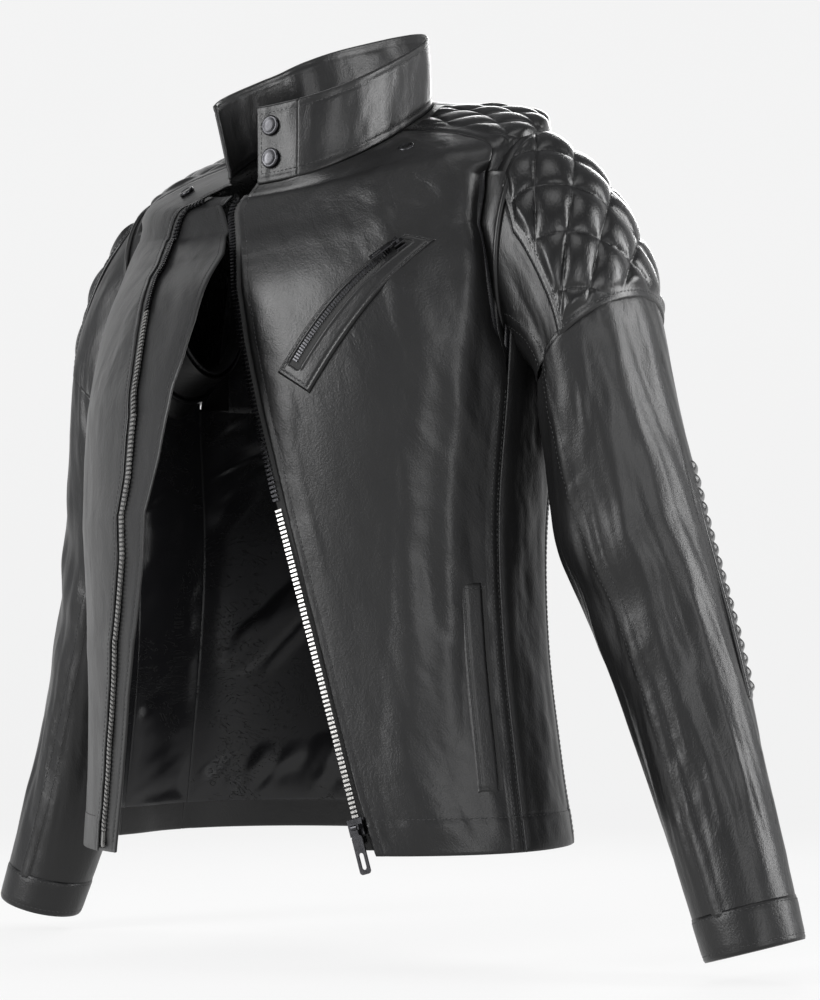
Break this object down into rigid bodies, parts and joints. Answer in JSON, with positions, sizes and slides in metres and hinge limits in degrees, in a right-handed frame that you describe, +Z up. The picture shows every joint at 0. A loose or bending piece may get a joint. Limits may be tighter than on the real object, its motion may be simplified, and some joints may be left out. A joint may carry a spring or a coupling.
{
  "type": "leather riding jacket",
  "caption": "Black leather riding jacket hanging open, with an off-centre zip, snap collar, quilted shoulders, slanted chest zip pocket, welt pocket and satin lining.",
  "frame": {"origin": "middle of the lower edge of the hanger loop inside the back of the collar", "axes": "+Z up, -Y the wearer's front, +X the wearer's left"},
  "size_m": [0.795, 0.3551, 0.7785],
  "materials": {
    "leather": "semi-gloss black grain",
    "quilted_leather": "padded, stitched in rhombs",
    "loop_leather": "semi-gloss",
    "satin_lining": "woven satin",
    "pocket_cloth": "plain weave",
    "zip_tape": "twill",
    "nickel_metal": "polished nickel",
    "dark_metal": "dark gunmetal"
  },
  "bodies": {
    "torso": {"back_panel": "leather", "back_yoke": "leather", "body_facings": "leather", "chest_pocket_welt": "leather", "chest_zip_tape": "zip_tape", "chest_zip_teeth": "nickel_metal", "collar_facing": "leather", "collar_stand": "leather", "fixed_snaps": "dark_metal", "hand_pocket_welt": "leather", "hanger_loop": "loop_leather", "left_front_flex": "leather", "left_front_panel": "leather", "left_quilted_shoulder": "quilted_leather", "left_quilted_yoke": "quilted_leather", "left_side_panel": "leather", "left_sleeve_head": "leather", "left_upper_zip_tape": "zip_tape", "pocket_bags": "pocket_cloth", "right_front_flex": "leather", "right_front_panel": "leather", "right_quilted_shoulder": "quilted_leather", "right_quilted_yoke": "quilted_leather", "right_side_panel": "leather", "right_sleeve_head": "leather", "torso_lining": "satin_lining", "upper_zip_teeth": "dark_metal"},
    "left_flap": {"left_front_flap": "leather", "left_flap_facing": "leather", "left_zip_teeth": "nickel_metal", "left_zip_tape": "zip_tape", "left_zip_box": "nickel_metal"},
    "main_slider": {"zip_slider": "nickel_metal"},
    "main_pull": {"zip_pull": "nickel_metal"},
    "right_flap": {"right_front_flap": "leather", "right_placket": "leather", "right_flap_lining": "satin_lining", "right_zip_teeth": "nickel_metal", "right_zip_tape": "zip_tape", "right_zip_pin": "nickel_metal"},
    "left_arm": {"left_upper_sleeve": "leather", "left_upper_sleeve_lining": "satin_lining", "left_elbow": "leather", "left_elbow_pad": "leather"},
    "left_fore": {"left_forearm": "leather", "left_forearm_lining": "satin_lining", "left_cuff_band": "leather"},
    "right_arm": {"right_upper_sleeve": "leather", "right_upper_sleeve_lining": "satin_lining", "right_elbow": "leather", "right_elbow_pad": "leather"},
    "right_fore": {"right_forearm": "leather", "right_forearm_lining": "satin_lining", "right_cuff_band": "leather"},
    "chest_slide": {"chest_slider": "nickel_metal"},
    "chest_tab": {"chest_pull": "nickel_metal"},
    "collar_tab": {"collar_flap": "leather", "collar_flap_facing": "leather", "collar_snap_caps": "dark_metal", "collar_snap_sockets": "dark_metal"}
  },
  "joints": [
    {"name": "left_front_fold", "type": "hinge", "parent": "torso", "child": "left_flap", "pos_m": [0.17743, -0.12, -0.64588], "axis": [-0.4079, -0.178, 0.8955], "range_deg": [-5, 45], "deforming": ["left_front_flex"]},
    {"name": "main_zip_run", "type": "slide", "parent": "left_flap", "child": "main_slider", "axis": [-0.2525, -0.075, 0.9647], "range_m": [0, 0.235]},
    {"name": "main_pull_hinge", "type": "hinge", "parent": "main_slider", "child": "main_pull", "pos_m": [0.09852, -0.16568, -0.62611], "axis": [-0.9561, -0.1336, -0.2607], "range_deg": [0, 110]},
    {"name": "right_front_fold", "type": "hinge", "parent": "torso", "child": "right_flap", "pos_m": [-0.20742, -0.12014, -0.64569], "axis": [0.1996, -0.0752, 0.977], "range_deg": [-12, 14], "deforming": ["right_front_flex"]},
    {"name": "left_shoulder", "type": "hinge", "parent": "torso", "child": "left_arm", "pos_m": [0.19, -0.04, -0.172], "axis": [0, -1, 0], "range_deg": [-1, 30], "deforming": ["left_quilted_shoulder", "left_sleeve_head"]},
    {"name": "left_elbow_bend", "type": "hinge", "parent": "left_arm", "child": "left_fore", "pos_m": [0.277, -0.024, -0.4386], "axis": [-0.954, 0, -0.2998], "range_deg": [0, 50], "deforming": ["left_elbow", "left_elbow_pad"]},
    {"name": "right_shoulder", "type": "hinge", "parent": "torso", "child": "right_arm", "pos_m": [-0.19, -0.04, -0.172], "axis": [0, 1, 0], "range_deg": [-1, 30], "deforming": ["right_quilted_shoulder", "right_sleeve_head"]},
    {"name": "right_elbow_bend", "type": "hinge", "parent": "right_arm", "child": "right_fore", "pos_m": [-0.2693, -0.024, -0.4386], "axis": [-0.954, 0, 0.2998], "range_deg": [0, 50], "deforming": ["right_elbow", "right_elbow_pad"]},
    {"name": "chest_zip_run", "type": "hinge", "parent": "torso", "child": "chest_slide", "pos_m": [0.14952, 0.0382, -0.34287], "axis": [0.7467, -0.4745, -0.4661], "range_deg": [0, 26.5]},
    {"name": "chest_pull_hinge", "type": "hinge", "parent": "chest_slide", "child": "chest_tab", "pos_m": [0.131, -0.15821, -0.17259], "axis": [-0.7467, 0.4745, 0.4661], "range_deg": [0, 110]},
    {"name": "collar_flap_hinge", "type": "hinge", "parent": "torso", "child": "collar_tab", "pos_m": [0.02735, -0.14946, -0.10125], "axis": [0.0088, -0.0049, 0.9999], "range_deg": [0, 60]}
  ]
}
